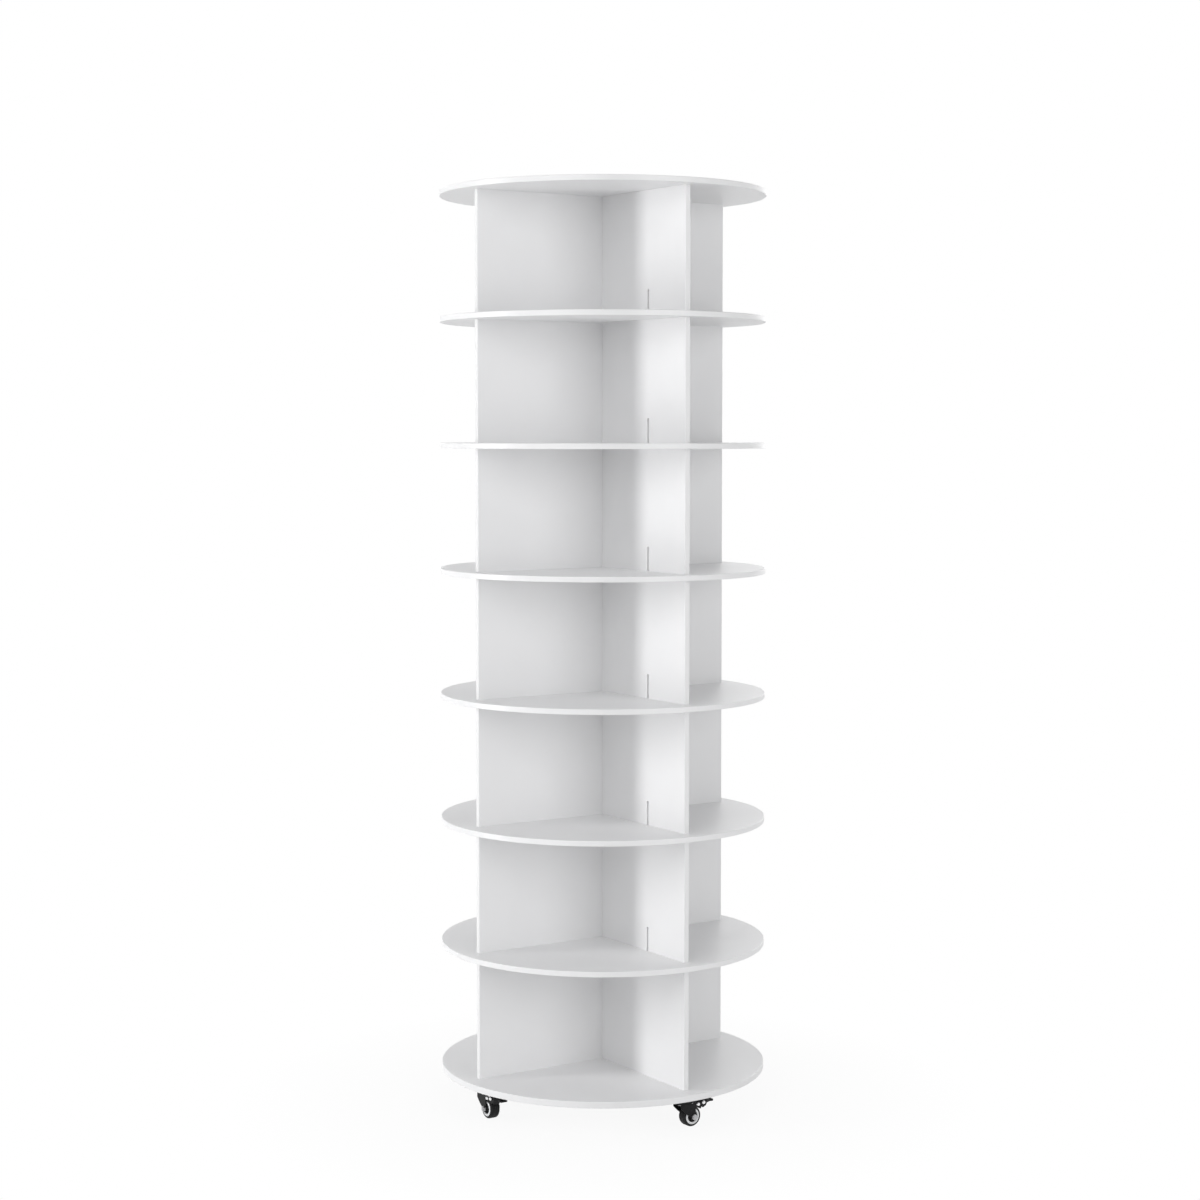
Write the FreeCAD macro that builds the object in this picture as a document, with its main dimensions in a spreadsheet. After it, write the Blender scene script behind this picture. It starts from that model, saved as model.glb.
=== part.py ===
import FreeCAD, Part
import math
import os
import Sketcher

# Rotating shoe tower. Millimetres, +Z up, origin on the floor below the tower's axis.
# Eight round boards stand apart on half-lapped cross dividers. The tower turns on a
# ball bearing ring over a steel cross, and the cross stands on four braked casters.

DIMENSIONS = (
    # Boards and dividers
    ("board_diameter", 600, "round boards"),
    ("board_thickness", 10, "round boards"),
    ("bottom_board_thickness", 12, "lowest board, which carries the bearing"),
    ("board_edge_radius", 1.2, "rounding of a board's rim"),
    ("tier_clear_height", 220, "between two boards"),
    ("base_clearance", 58, "floor to the lowest board"),
    ("divider_reach", 270, "axis to the outer edge of a divider"),
    ("divider_thickness", 10, "divider panels"),
    ("divider_edge_chamfer", 0.8, "outer edges of a divider"),
    ("lap_gap", 0.2, "play in the half-lap joints"),
    ("slot_radius", 155, "axis to the slots of a divider"),
    ("slot_width", 5, "slots in the dividers along Y"),
    ("slot_height", 44, "slots in the dividers along Y"),
    ("dowel_diameter", 5, "dowels between dividers and boards"),
    ("dowel_length", 30, "dowels between dividers and boards"),
    ("dowel_play", 0.1, "hole over dowel, on the diameter"),
    ("dowel_end_depth", 6, "dowel in the top and bottom board"),
    ("dowel_inner_radius", 95, "axis to the inner dowels"),
    ("dowel_outer_radius", 225, "axis to the outer dowels"),
    # Turntable bearing
    ("bearing_height", 6, "steel cross to the lowest board"),
    ("ring_height", 5, "each bearing ring"),
    ("ball_diameter", 3.5, "bearing balls"),
    ("ball_circle_radius", 65, "axis to the bearing balls"),
    ("groove_radius", 1.9, "ball groove in a ring"),
    ("race_gap", 1.6, "between the two rings"),
    ("outer_ring_radius", 80, "outside of the outer ring"),
    ("inner_ring_bore", 50, "bore radius of the inner ring"),
    ("cage_thickness", 1, "ball cage"),
    ("cage_height", 5, "ball cage"),
    ("cage_window", 3.8, "square windows of the ball cage"),
    ("outer_screw_radius", 73.5, "axis to the screws of the outer ring"),
    ("inner_screw_radius", 56, "axis to the screws of the inner ring"),
    # Screws, bolts and nuts
    ("screw_radius", 2, "machine screws and plate bolts"),
    ("screw_hole_radius", 2.1, "holes for the screws and plate bolts"),
    ("screw_head_radius", 3.6, "bearing screws"),
    ("screw_head_height", 2.6, "bearing screws"),
    ("screw_sink_radius", 3.8, "counterbores of the bearing rings"),
    ("screw_sink_depth", 3, "counterbores of the bearing rings"),
    ("nut_across_corners", 8, "nuts of the screws and plate bolts"),
    ("nut_height", 3, "nuts of the screws and plate bolts"),
    ("nut_bore_play", 0.05, "nut over thread, on the radius"),
    ("thread_end", 1, "end of a thread past its nut"),
    ("wood_screw_radius", 1.55, "screws into the lowest board"),
    ("wood_screw_length", 10.5, "head's outer face to the start of the point"),
    ("wood_screw_point", 1.8, "point of a wood screw"),
    ("wood_screw_tip_radius", 0.3, "tip of a wood screw"),
    ("pilot_radius", 1.6, "pilot holes in the lowest board"),
    ("pilot_depth", 9, "pilot holes in the lowest board"),
    # Steel cross
    ("cross_thickness", 4, "steel cross"),
    ("cross_arm_width", 44, "steel cross"),
    ("cross_reach", 275, "axis to the end of a cross arm"),
    ("cross_corner_radius", 6, "outer corners of a cross arm"),
    ("cross_root_radius", 14, "corners between the cross arms"),
    ("cross_bore_radius", 9, "hole in the middle of the cross"),
    # Casters, in their own frame: x outward, y along the trail, z from the floor
    ("caster_radius", 255, "axis to a kingpin"),
    ("caster_trail", 18, "kingpin to the wheel's axle"),
    ("plate_size", 38, "square mounting plate"),
    ("plate_thickness", 2, "mounting plate"),
    ("plate_corner_radius", 4, "mounting plate"),
    ("plate_bolt_spacing", 27, "bolts of a mounting plate"),
    ("race_height", 2, "pressed race under a mounting plate"),
    ("race_radius", 13, "pressed race under a mounting plate"),
    ("race_width", 3, "pressed race under a mounting plate"),
    ("plate_bolt_head_radius", 3.5, "bolts of a mounting plate"),
    ("plate_bolt_head_height", 1.5, "bolts of a mounting plate"),
    ("kingpin_radius", 3, "kingpin"),
    ("kingpin_head_radius", 5.5, "kingpin"),
    ("kingpin_head_height", 2, "kingpin"),
    ("head_taper", 1, "narrowing of the round heads, on the radius"),
    ("swivel_gap", 0.4, "above and below a fork's crown"),
    ("running_gap", 0.06, "radial play of pins and axles"),
    ("fork_sheet", 1.6, "sheet of a fork"),
    ("fork_inner_width", 23.6, "between the legs of a fork"),
    ("fork_crown_reach", 11, "kingpin to the front of a fork"),
    ("fork_crown_end", 24, "kingpin to the rear of a fork's crown"),
    ("crown_lip", 2, "front lip under a fork's crown"),
    ("crown_corner_radius", 5, "front corners of a fork's crown"),
    ("axle_eye_width", 11, "lower end of a fork's leg"),
    ("axle_eye_depth", 6.5, "axle to the lower end of a leg"),
    ("axle_eye_shoulder", 1, "axle to the start of a leg's end"),
    ("axle_eye_bevel_width", 2, "lower corners of a leg"),
    ("axle_eye_bevel_height", 1.5, "lower corners of a leg"),
    ("bracket_margin", 2.4, "brake bracket behind the lever pin"),
    ("bracket_bevel", 1.6, "brake bracket's rear edge, half its height"),
    ("wheel_diameter", 37, "caster wheel"),
    ("wheel_width", 19, "caster wheel"),
    ("tread_edge_radius", 4, "tyre"),
    ("tyre_inner_radius", 14.2, "tyre"),
    ("rim_inset", 0.4, "rim's outer edge behind the faces of the tyre"),
    ("rim_proud", 0.8, "rim's inner edge past the faces of the tyre"),
    ("rim_edge_radius", 0.8, "inner edges of the rim"),
    ("hub_radius", 10.2, "hub"),
    ("hub_web_inset", 3.2, "hub's web behind the faces of the tyre"),
    ("hub_bevel", 1.6, "outer corners of the hub's web"),
    ("boss_proud", 1.7, "hub's boss past the faces of the tyre"),
    ("boss_radius", 4.6, "hub's boss at its end"),
    ("boss_foot_radius", 5.4, "hub's boss at its foot"),
    ("axle_radius", 3, "axle bolt"),
    ("axle_nut_height", 3, "axle bolt's head and nut"),
    ("axle_nut_across_corners", 11, "axle bolt's head and nut"),
    # Brake levers
    ("lever_pin_trail", 39.5, "kingpin to a brake lever's pin"),
    ("lever_pin_height", 41.8, "floor to a brake lever's pin"),
    ("lever_pin_radius", 1.5, "brake lever's pin"),
    ("lever_outer_width", 23, "over the ears of a brake lever"),
    ("lever_sheet", 1.4, "sheet of a brake lever"),
    ("lever_tip_trail", 66, "kingpin to the tip of a brake lever"),
    ("lever_tip_width", 15, "tip of a brake lever"),
    ("lever_shoe_width", 12, "shoe that presses on the tyre"),
    ("pedal_rise", 2.4, "lever pin to the pedal's underside"),
    ("pedal_bend", 10, "lever pin to the bend of the pedal"),
    ("pedal_drop", 3.4, "fall of the pedal from its bend to its tip"),
    ("pedal_rim_drop", 2.4, "lower edge of the pedal's turned-down rim below the lever pin"),
    ("pedal_taper_length", 7, "bend to the end of the pedal's taper"),
    ("pedal_corner_radius", 3, "corners of the pedal's tip"),
    ("spring_pin_trail", 27.6, "kingpin to the brake spring's pin"),
    ("spring_pin_height", 40.2, "floor to the brake spring's pin"),
    ("pin_head_radius", 3.5, "heads of the brake pins"),
    ("pin_head_height", 1.6, "heads of the brake pins"),
)

TIER_COUNT = 7
QUARTER_TURNS = (0, 90, 180, 270)
EIGHTH_TURN = 45
BALL_COUNT = 24
# Edges of a fork's leg, as trail and height from its axle
LEG_FRONT = ((-26.5, 17.5), (-18, 9))
LEG_REAR = ((4, 12.5), (4.3, 18.3))
# Lower edge of the brake bracket, as trail and height from the lever's pin
BRACKET_LOW = ((-12.5, -5.4), (-6.5, -5.6), (-2.4, -4.3))
# Outlines below a brake lever's pedal, as trail and height from its pin
EAR_OUTLINE = ((-5.5, -5.9), (-0.5, -9.7), (6.3, -6.6), (8.3, -2))
SHOE_OUTLINE = ((-2.6, -4.8), (-3.3, -11.4), (-2.4, -12.8), (-0.9, -12.4), (2.2, -4.8))
SHOE_ROOT_HALF = 2.6
# How far a cutter stands past what it cuts, and how close two places count as one
OVERSHOOT = 1
TOLERANCE = 1e-6
PLAIN = FreeCAD.Rotation()
ALONG_X = FreeCAD.Rotation(FreeCAD.Vector(0, 1, 0), 90)

doc = FreeCAD.newDocument("RotatingShoeTower")
sheet = doc.addObject("Spreadsheet::Sheet", "dims")
nodes = []


# ---------------------------------------------------------------- driving dimensions

class Size:
    """A number together with the spreadsheet formula that gives it."""

    def __init__(self, value, formula):
        self.value = float(value)
        self.formula = formula

    def __add__(self, other):
        other = as_size(other)
        return Size(self.value + other.value, "(%s + %s)" % (self.formula, other.formula))

    def __sub__(self, other):
        other = as_size(other)
        return Size(self.value - other.value, "(%s - %s)" % (self.formula, other.formula))

    def __mul__(self, factor):
        return Size(self.value * factor, "(%s * %s)" % (self.formula, factor))

    def __truediv__(self, divisor):
        return Size(self.value / divisor, "(%s / %s)" % (self.formula, divisor))

    def __neg__(self):
        return Size(-self.value, "(0 - %s)" % self.formula)

    def __radd__(self, other):
        return as_size(other) + self

    def __rsub__(self, other):
        return as_size(other) - self

    __rmul__ = __mul__


def as_size(number):
    return number if isinstance(number, Size) else Size(number, "(%s)" % number)


def bind(thing, path, size):
    """Drive a property from the sheet."""
    thing.setExpression(path, as_size(size).formula)


class Dimensions:
    """The sheet's aliases as attributes."""

    def __init__(self):
        for row, (alias, number, note) in enumerate(DIMENSIONS, 1):
            sheet.set("A%d" % row, alias)
            sheet.set("B%d" % row, str(number))
            sheet.set("C%d" % row, note)
            sheet.setAlias("B%d" % row, alias)
            setattr(self, alias, Size(number, "dims.%s" % alias))


d = Dimensions()
doc.recompute()

board_radius = d.board_diameter / 2
tier_pitch = d.tier_clear_height + d.board_thickness
first_tier_bottom = d.base_clearance + d.bottom_board_thickness
hole_radius = (d.dowel_diameter + d.dowel_play) / 2
cross_top = d.base_clearance - d.bearing_height
cross_bottom = cross_top - d.cross_thickness
plate_bottom = cross_bottom - d.plate_thickness
crown_top = plate_bottom - d.race_height - d.swivel_gap
crown_bottom = crown_top - d.fork_sheet
fork_outer_width = d.fork_inner_width + 2 * d.fork_sheet
wheel_radius = d.wheel_diameter / 2


# ---------------------------------------------------------------- modelling helpers

def turned(x, y, turn):
    """A point of a frame that is turned about Z, in the tower's frame."""
    cosine = round(math.cos(math.radians(turn)), 12)
    sine = round(math.sin(math.radians(turn)), 12)
    return as_size(x) * cosine - as_size(y) * sine, as_size(x) * sine + as_size(y) * cosine


def place(thing, at, turn=0, tilt=PLAIN):
    """Put a thing at a point of a frame that is turned about Z."""
    x, y = turned(at[0], at[1], turn)
    rotation = FreeCAD.Rotation(FreeCAD.Vector(0, 0, 1), turn).multiply(tilt)
    thing.Placement = FreeCAD.Placement(FreeCAD.Vector(), rotation)
    for letter, size in zip("xyz", (x, y, as_size(at[2]))):
        bind(thing, "Placement.Base.%s" % letter, size)
    return thing


def add_node(thing, name):
    thing.Label = name
    nodes.append(thing)
    return thing


def new_body(name):
    return add_node(doc.addObject("PartDesign::Body", name), name)


def new_sketch(body, role, offset=0):
    """A sketch on one of the body's own origin planes, moved along its normal."""
    sketch = body.newObject("Sketcher::SketchObject", body.Label + "_sketch")
    plane = next(item for item in body.Origin.OriginFeatures if item.Role == role)
    sketch.AttachmentSupport = [(plane, "")]
    sketch.MapMode = "FlatFace"
    bind(sketch, "AttachmentOffset.Base.z", offset)
    return sketch


def fix_point(sketch, geometry, position, x, y):
    """Hold a point of a sketch at its distances from the sketch's axes."""
    for kind, axis, size in (("DistanceX", -2, as_size(x)), ("DistanceY", -1, as_size(y))):
        if size.value == 0:
            sketch.addConstraint(Sketcher.Constraint("PointOnObject", geometry, position, axis))
            continue
        constraint = Sketcher.Constraint(kind, -1, 1, geometry, position, size.value)
        bind(sketch, "Constraints[%d]" % sketch.addConstraint(constraint), size)


def polygon(sketch, points):
    """A closed outline of straight lines."""
    first = sketch.GeometryCount
    count = len(points)
    corners = [FreeCAD.Vector(as_size(x).value, as_size(y).value, 0) for x, y in points]
    for index in range(count):
        sketch.addGeometry(Part.LineSegment(corners[index], corners[(index + 1) % count]), False)
    for index in range(count):
        joined = first + (index + 1) % count
        sketch.addConstraint(Sketcher.Constraint("Coincident", first + index, 2, joined, 1))
    for index, (x, y) in enumerate(points):
        fix_point(sketch, first + index, 1, x, y)


def rectangle(sketch, left, low, right, high):
    polygon(sketch, [(left, low), (right, low), (right, high), (left, high)])


def circle(sketch, x, y, radius):
    radius = as_size(radius)
    centre = FreeCAD.Vector(as_size(x).value, as_size(y).value, 0)
    geometry = sketch.addGeometry(Part.Circle(centre, FreeCAD.Vector(0, 0, 1), radius.value), False)
    fix_point(sketch, geometry, 3, x, y)
    index = sketch.addConstraint(Sketcher.Constraint("Radius", geometry, radius.value))
    bind(sketch, "Constraints[%d]" % index, radius)


def pad(body, sketch, length, symmetric=False):
    feature = body.newObject("PartDesign::Pad", body.Label + "_pad")
    feature.Profile = sketch
    feature.SideType = "Symmetric" if symmetric else "One side"
    bind(feature, "Length", length)
    return feature


def pocket(body, sketch, depth=None, upward=False, symmetric=False):
    """Cut a sketch into the body: by a depth one way or shared by both, or right through."""
    volume = solid_volume(body)
    feature = body.newObject("PartDesign::Pocket", body.Label + "_pocket")
    feature.Profile = sketch
    feature.SideType = "Symmetric" if symmetric or depth is None else "One side"
    if depth is None:
        feature.Type = "ThroughAll"
    else:
        feature.Reversed = upward
        bind(feature, "Length", depth)
    if solid_volume(body) >= volume:
        raise RuntimeError("a pocket of %s cuts nothing" % body.Label)
    return feature


def revolve(body, sketch, axis):
    """Turn a sketch all the way round one of its own axes."""
    feature = body.newObject("PartDesign::Revolution", body.Label + "_revolution")
    feature.Profile = sketch
    feature.ReferenceAxis = (sketch, [axis])
    feature.Angle = 360
    return feature


def solid_volume(body):
    doc.recompute()
    return body.Shape.Volume


def soften(body, kind, size, chosen):
    """A fillet or chamfer on the edges that a test chooses."""
    doc.recompute()
    base = body.Tip
    names = ["Edge%d" % number for number, edge in enumerate(base.Shape.Edges, 1) if chosen(edge)]
    if not names:
        raise RuntimeError("no edge to soften on %s" % body.Label)
    feature = body.newObject("PartDesign::" + kind, body.Label + "_" + kind.lower())
    feature.Base = (base, names)
    bind(feature, "Radius" if kind == "Fillet" else "Size", size)
    return feature


def is_circle(edge, radius):
    curve = edge.Curve
    return isinstance(curve, Part.Circle) and abs(curve.Radius - as_size(radius).value) < TOLERANCE


def is_line(edge, direction):
    """True for a straight edge that runs along a direction."""
    if not isinstance(edge.Curve, Part.Line):
        return False
    return abs(abs(edge.Curve.Direction.dot(FreeCAD.Vector(direction))) - 1) < TOLERANCE


def centre_of(edge):
    return edge.BoundBox.Center


def off_axis(edge):
    """The larger of an edge's distances from the planes through Z along X and Y."""
    return max(abs(centre_of(edge).x), abs(centre_of(edge).y))


def cylinder(name, radius, height):
    solid = doc.addObject("Part::Cylinder", name)
    bind(solid, "Radius", radius)
    bind(solid, "Height", height)
    return solid


def hexagon(name, across_corners, height):
    solid = doc.addObject("Part::Prism", name)
    solid.Polygon = 6
    bind(solid, "Circumradius", as_size(across_corners) / 2)
    bind(solid, "Height", height)
    return solid


def cone(name, low_radius, high_radius, height):
    solid = doc.addObject("Part::Cone", name)
    bind(solid, "Radius1", low_radius)
    bind(solid, "Radius2", high_radius)
    bind(solid, "Height", height)
    return solid


def fused(name, solids):
    joined = doc.addObject("Part::MultiFuse", name)
    joined.Shapes = solids
    return joined


def drilled(name, solid, drill):
    cut = doc.addObject("Part::Cut", name)
    cut.Base = solid
    cut.Tool = drill
    return cut


def group(name, solids):
    """Separate solids that share one node."""
    compound = doc.addObject("Part::Compound", name)
    compound.Links = solids
    return add_node(compound, name)


# ---------------------------------------------------------------- boards

def dowel_points():
    """The places of the dowels in every board, two under each arm."""
    for turn in QUARTER_TURNS:
        for radius in (d.dowel_inner_radius, d.dowel_outer_radius):
            yield turned(radius, 0, turn)


def inner_screw_points():
    for turn in QUARTER_TURNS:
        yield turned(d.inner_screw_radius, 0, turn + EIGHTH_TURN)


def make_board(name, level):
    """A round board with its dowel holes; level 0 is the lowest."""
    body = new_body(name)
    thickness = d.bottom_board_thickness if level == 0 else d.board_thickness
    disc = new_sketch(body, "XY_Plane")
    circle(disc, 0, 0, board_radius)
    pad(body, disc, thickness)
    soften(body, "Fillet", d.board_edge_radius, lambda edge: is_circle(edge, board_radius))
    from_below = level == TIER_COUNT
    holes = new_sketch(body, "XY_Plane", 0 if from_below else thickness)
    for x, y in dowel_points():
        circle(holes, x, y, hole_radius)
    ends_here = level in (0, TIER_COUNT)
    pocket(body, holes, d.dowel_end_depth if ends_here else thickness, from_below)
    if level == 0:
        pilots = new_sketch(body, "XY_Plane")
        for x, y in inner_screw_points():
            circle(pilots, x, y, d.pilot_radius)
        pocket(body, pilots, d.pilot_depth, upward=True)
    place(body, (0, 0, first_tier_bottom + tier_pitch * level - thickness))


def make_boards():
    make_board("bottom_board", 0)
    for level in range(1, TIER_COUNT):
        make_board("shelf_board_%d" % level, level)
    make_board("top_board", TIER_COUNT)


# ---------------------------------------------------------------- dividers

def divider_outline(lap_is_below, slotted):
    """Half-lapped panel outline, with the slots that are open at its lower edge."""
    reach = d.divider_reach
    high = d.tier_clear_height
    notch = (d.divider_thickness + d.lap_gap) / 2
    below = (high + d.lap_gap) / 2
    above = (high - d.lap_gap) / 2
    slot_in = d.slot_radius - d.slot_width / 2
    slot_out = d.slot_radius + d.slot_width / 2
    points = [(-reach, 0)]
    if slotted:
        points += [(-slot_out, 0), (-slot_out, d.slot_height), (-slot_in, d.slot_height), (-slot_in, 0)]
    if lap_is_below:
        points += [(-notch, 0), (-notch, below), (notch, below), (notch, 0)]
    if slotted:
        points += [(slot_in, 0), (slot_in, d.slot_height), (slot_out, d.slot_height), (slot_out, 0)]
    points += [(reach, 0), (reach, high)]
    if not lap_is_below:
        points += [(notch, high), (notch, above), (-notch, above), (-notch, high)]
    points += [(-reach, high)]
    return points


def make_divider(name, tier, along_x):
    """One full-width panel of a tier's cross; tier 1 is the lowest."""
    body = new_body(name)
    outline = new_sketch(body, "XZ_Plane")
    polygon(outline, divider_outline(along_x, slotted=not along_x and tier > 1))
    pad(body, outline, d.divider_thickness, symmetric=True)
    reach = d.divider_reach.value
    soften(body, "Chamfer", d.divider_edge_chamfer,
           lambda edge: is_line(edge, (0, 0, 1)) and abs(abs(centre_of(edge).x) - reach) < TOLERANCE)
    middle_depth = (d.dowel_length - d.board_thickness) / 2
    end_depth = d.dowel_length - d.dowel_end_depth
    for height, at_end, upward in ((0, tier == 1, True), (d.tier_clear_height, tier == TIER_COUNT, False)):
        holes = new_sketch(body, "XY_Plane", height)
        for radius in (d.dowel_inner_radius, d.dowel_outer_radius):
            circle(holes, radius, 0, hole_radius)
            circle(holes, -radius, 0, hole_radius)
        pocket(body, holes, end_depth if at_end else middle_depth, upward)
    place(body, (0, 0, first_tier_bottom + tier_pitch * (tier - 1)), 0 if along_x else 90)


def make_dividers():
    for tier in range(1, TIER_COUNT + 1):
        make_divider("divider_x_%d" % tier, tier, along_x=True)
        make_divider("divider_y_%d" % tier, tier, along_x=False)


def make_dowels():
    """Every dowel of the tower: each one reaches through or into its board."""
    dowels = []
    for level in range(TIER_COUNT + 1):
        board_top = first_tier_bottom + tier_pitch * level
        if level == 0:
            low = board_top - d.dowel_end_depth
        elif level == TIER_COUNT:
            low = board_top - d.board_thickness + d.dowel_end_depth - d.dowel_length
        else:
            low = board_top - (d.board_thickness + d.dowel_length) / 2
        for x, y in dowel_points():
            dowels.append(place(cylinder("dowel", d.dowel_diameter / 2, d.dowel_length), (x, y, low)))
    group("connector_dowels", dowels)


# ---------------------------------------------------------------- turntable bearing

def grooved_ring(name, bore, outside, groove_at, low):
    """A flat ring with a ball groove round its bore or its outside."""
    body = new_body(name)
    section = new_sketch(body, "XZ_Plane")
    rectangle(section, bore, 0, outside, d.ring_height)
    revolve(body, section, "V_Axis")
    ball_height = d.bearing_height / 2 - low
    cutter = new_sketch(body, "XZ_Plane")
    circle(cutter, groove_at, ball_height, d.groove_radius)
    volume = solid_volume(body)
    groove = body.newObject("PartDesign::Groove", name + "_groove")
    groove.Profile = cutter
    groove.ReferenceAxis = (cutter, ["V_Axis"])
    groove.Angle = 360
    if solid_volume(body) >= volume:
        raise RuntimeError("the groove of %s cuts nothing" % name)
    place(body, (0, 0, cross_top + low))
    return body


def make_rings():
    half_gap = d.race_gap / 2
    centre = d.ball_circle_radius
    outer = grooved_ring("bearing_outer_ring", centre + half_gap, d.outer_ring_radius, centre, 0)
    bores = new_sketch(outer, "XY_Plane", d.ring_height)
    sinks = new_sketch(outer, "XY_Plane", d.ring_height)
    for turn in QUARTER_TURNS:
        x, y = turned(d.outer_screw_radius, 0, turn)
        circle(bores, x, y, d.screw_hole_radius)
        circle(sinks, x, y, d.screw_sink_radius)
    pocket(outer, bores)
    pocket(outer, sinks, d.screw_sink_depth)
    lift = d.bearing_height - d.ring_height
    inner = grooved_ring("bearing_inner_ring", d.inner_ring_bore, centre - half_gap, centre, lift)
    bores = new_sketch(inner, "XY_Plane")
    sinks = new_sketch(inner, "XY_Plane")
    for x, y in inner_screw_points():
        circle(bores, x, y, d.screw_hole_radius)
        circle(sinks, x, y, d.screw_sink_radius)
    pocket(inner, bores)
    pocket(inner, sinks, d.screw_sink_depth, upward=True)


def make_cage_and_balls():
    """A thin band between the rings, with a window round each ball."""
    cage = new_body("bearing_cage")
    section = new_sketch(cage, "XZ_Plane")
    half = d.cage_thickness / 2
    rectangle(section, d.ball_circle_radius - half, -d.cage_height / 2,
              d.ball_circle_radius + half, d.cage_height / 2)
    revolve(cage, section, "V_Axis")
    window = new_sketch(cage, "YZ_Plane", d.ball_circle_radius - d.ball_diameter / 2)
    window_half = d.cage_window / 2
    rectangle(window, -window_half, -window_half, window_half, window_half)
    opening = pocket(cage, window, d.ball_diameter, upward=True)
    pattern = cage.newObject("PartDesign::PolarPattern", "bearing_cage_windows")
    pattern.Originals = [opening]
    pattern.Axis = (section, ["V_Axis"])
    pattern.Occurrences = BALL_COUNT
    pattern.Angle = 360
    cage.Tip = pattern
    middle = cross_top + d.bearing_height / 2
    place(cage, (0, 0, middle))
    balls = []
    for number in range(BALL_COUNT):
        ball = doc.addObject("Part::Sphere", "ball")
        bind(ball, "Radius", d.ball_diameter / 2)
        x, y = turned(d.ball_circle_radius, 0, 360 / BALL_COUNT * number)
        balls.append(place(ball, (x, y, middle)))
    group("bearing_balls", balls)


def hex_nut(at, turn=0):
    """A nut with a plain bore, its lower face at a point."""
    nut = place(hexagon("nut", d.nut_across_corners, d.nut_height), at, turn)
    drill = cylinder("nut_drill", d.screw_radius + d.nut_bore_play, d.nut_height + 2 * OVERSHOOT)
    place(drill, (at[0], at[1], at[2] - OVERSHOOT), turn)
    return drilled("hex_nut", nut, drill)


def make_bearing_screws():
    """Machine screws with nuts hold the outer ring, wood screws the inner one."""
    nut_bottom = cross_bottom - d.nut_height
    shank_bottom = nut_bottom - d.thread_end
    head_bottom = cross_top + d.ring_height - d.screw_sink_depth
    to_cross = []
    for turn in QUARTER_TURNS:
        x, y = turned(d.outer_screw_radius, 0, turn)
        length = head_bottom + d.screw_head_height - shank_bottom
        shank = place(cylinder("shank", d.screw_radius, length), (x, y, shank_bottom))
        head = place(cylinder("head", d.screw_head_radius, d.screw_head_height), (x, y, head_bottom))
        to_cross += [fused("machine_screw", [shank, head]), hex_nut((x, y, nut_bottom))]
    group("bearing_base_screws", to_cross)
    to_board = []
    ring_bottom = cross_top + d.bearing_height - d.ring_height
    low = ring_bottom + d.screw_sink_depth - d.screw_head_height
    for x, y in inner_screw_points():
        head = place(cylinder("head", d.screw_head_radius, d.screw_head_height), (x, y, low))
        shank = place(cylinder("shank", d.wood_screw_radius, d.wood_screw_length), (x, y, low))
        point = place(cone("point", d.wood_screw_radius, d.wood_screw_tip_radius, d.wood_screw_point),
                      (x, y, low + d.wood_screw_length))
        to_board.append(fused("wood_screw", [head, shank, point]))
    group("bearing_board_screws", to_board)


# ---------------------------------------------------------------- steel cross

def make_cross():
    """One flat plate with four arms; the casters are bolted under its ends."""
    body = new_body("base_cross")
    half = d.cross_arm_width / 2
    reach = d.cross_reach
    outline = []
    for turn in QUARTER_TURNS:
        outline += [turned(x, y, turn) for x, y in ((half, -half), (reach, -half), (reach, half))]
    plate = new_sketch(body, "XY_Plane")
    polygon(plate, outline)
    pad(body, plate, d.cross_thickness)
    far = d.cross_reach.value - TOLERANCE
    near = d.cross_arm_width.value
    soften(body, "Fillet", d.cross_corner_radius,
           lambda edge: is_line(edge, (0, 0, 1)) and off_axis(edge) > far)
    soften(body, "Fillet", d.cross_root_radius,
           lambda edge: is_line(edge, (0, 0, 1)) and off_axis(edge) < near)
    holes = new_sketch(body, "XY_Plane", d.cross_thickness)
    circle(holes, 0, 0, d.cross_bore_radius)
    for turn in QUARTER_TURNS:
        x, y = turned(d.outer_screw_radius, 0, turn)
        circle(holes, x, y, d.screw_hole_radius)
        for along, across in plate_bolt_points():
            x, y = turned(d.caster_radius + along, across, turn)
            circle(holes, x, y, d.screw_hole_radius)
    pocket(body, holes)
    place(body, (0, 0, cross_bottom))


def plate_bolt_points():
    half = d.plate_bolt_spacing / 2
    return [(half, half), (-half, half), (-half, -half), (half, -half)]


# ---------------------------------------------------------------- casters

def make_caster_plate(number, turn):
    """Square plate with the pressed race that the fork's crown runs under."""
    body = new_body("caster_plate_%d" % number)
    half = d.plate_size / 2
    square = new_sketch(body, "XY_Plane")
    rectangle(square, -half, -half, half, half)
    pad(body, square, d.plate_thickness)
    soften(body, "Fillet", d.plate_corner_radius, lambda edge: is_line(edge, (0, 0, 1)))
    race = new_sketch(body, "XY_Plane", -d.race_height)
    circle(race, 0, 0, d.race_radius)
    circle(race, 0, 0, d.race_radius - d.race_width)
    pad(body, race, d.race_height)
    holes = new_sketch(body, "XY_Plane")
    circle(holes, 0, 0, d.kingpin_radius + d.running_gap)
    for x, y in plate_bolt_points():
        circle(holes, x, y, d.screw_hole_radius)
    pocket(body, holes)
    place(body, (d.caster_radius, 0, plate_bottom), turn)


def make_kingpins():
    """Rivets that hold the forks to their plates, flush with the plates' tops."""
    pins = []
    head_bottom = crown_bottom - d.swivel_gap - d.kingpin_head_height
    for turn in QUARTER_TURNS:
        shank = cylinder("kingpin_shank", d.kingpin_radius, cross_bottom - head_bottom)
        head = cone("kingpin_head", d.kingpin_head_radius - d.head_taper, d.kingpin_head_radius,
                    d.kingpin_head_height)
        at = (d.caster_radius, 0, head_bottom)
        pins.append(fused("kingpin", [place(shank, at, turn), place(head, at, turn)]))
    group("kingpins", pins)


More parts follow.
